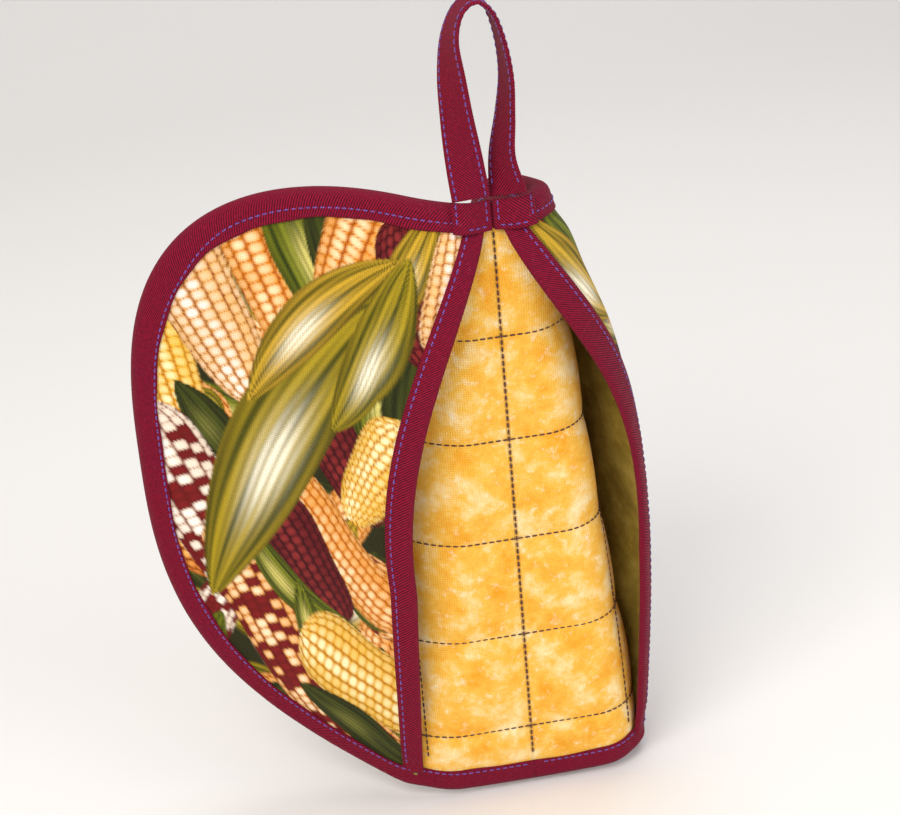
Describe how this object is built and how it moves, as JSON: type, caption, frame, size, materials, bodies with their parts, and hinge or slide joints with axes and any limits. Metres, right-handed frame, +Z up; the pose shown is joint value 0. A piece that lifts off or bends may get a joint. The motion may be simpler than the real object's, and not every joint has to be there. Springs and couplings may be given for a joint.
{
  "type": "oven mitt",
  "caption": "Folding quilted oven mitt: an oval pad bent round the hand with a thumb pocket, a finger pocket, a bound rim and a hanging loop.",
  "frame": {"origin": "middle of the palm strip, half way down the fold, where the hand holds the mitt", "axes": "+Z up along the fold towards the hanging loop, -Y out of the pocket side towards the hand, +X towards the finger pocket"},
  "size_m": [0.2004, 0.1424, 0.3328],
  "materials": {
    "printed_cotton": "matte woven cotton with a printed harvest pattern",
    "reflective_layer": "needled polyester with a metallised film",
    "cotton_batting": "soft carded cotton",
    "palm_lining_cotton": "matte mottled cotton",
    "quilting_thread": "spun polyester thread",
    "pocket_lining_cotton": "matte cotton",
    "topstitch_thread": "slightly glossy polyester thread",
    "binding_tape": "twill bias tape"
  },
  "bodies": {
    "palm": {"grip_face_centre": "printed_cotton", "reflective_layer_centre": "reflective_layer", "batting_centre": "cotton_batting", "palm_lining_centre": "palm_lining_cotton", "quilting_palm_centre": "quilting_thread", "quilting_grip_centre": "quilting_thread", "rim_binding_top": "binding_tape", "rim_binding_bottom": "binding_tape", "rim_stitch_top": "topstitch_thread", "rim_stitch_bottom": "topstitch_thread", "loop_tab_left": "binding_tape", "loop_tab_right": "binding_tape", "loop_tab_stitch_left": "topstitch_thread", "loop_tab_stitch_right": "topstitch_thread"},
    "thumb_side": {"grip_face_left": "printed_cotton", "reflective_layer_left": "reflective_layer", "batting_left": "cotton_batting", "palm_lining_left": "palm_lining_cotton", "quilting_palm_left": "quilting_thread", "quilting_grip_left": "quilting_thread", "rim_binding_left": "binding_tape", "rim_stitch_left": "topstitch_thread", "thumb_pocket_lining": "pocket_lining_cotton", "thumb_pocket_batting": "cotton_batting", "thumb_pocket_face": "printed_cotton", "thumb_pocket_binding": "binding_tape", "thumb_pocket_stitch": "topstitch_thread"},
    "finger_side": {"grip_face_right": "printed_cotton", "reflective_layer_right": "reflective_layer", "batting_right": "cotton_batting", "palm_lining_right": "palm_lining_cotton", "quilting_palm_right": "quilting_thread", "quilting_grip_right": "quilting_thread", "rim_binding_right": "binding_tape", "rim_stitch_right": "topstitch_thread", "finger_pocket_lining": "pocket_lining_cotton", "finger_pocket_batting": "cotton_batting", "finger_pocket_face": "printed_cotton", "finger_pocket_binding": "binding_tape", "finger_pocket_stitch": "topstitch_thread"},
    "loop": {"hanging_loop": "binding_tape", "loop_stitch_left": "topstitch_thread", "loop_stitch_right": "topstitch_thread"}
  },
  "joints": [
    {"name": "thumb_fold", "type": "hinge", "parent": "palm", "child": "thumb_side", "pos_m": [-0.0304, 0.00433, 0.00152], "axis": [-0.1045, 0, -0.9945], "range_deg": [-30, 42], "deforming": ["thumb_pocket_binding", "thumb_pocket_stitch"]},
    {"name": "finger_fold", "type": "hinge", "parent": "palm", "child": "finger_side", "pos_m": [0.02827, 0.00696, 0.00008], "axis": [-0.1045, 0, 0.9945], "range_deg": [-54, 8], "deforming": ["finger_pocket_binding", "finger_pocket_stitch"]},
    {"name": "loop_swing", "type": "hinge", "parent": "palm", "child": "loop", "pos_m": [0, -0.0025, 0.1295], "axis": [1, 0, 0], "range_deg": [-20, 70], "stiffness_Nm_per_rad": 0.008}
  ]
}
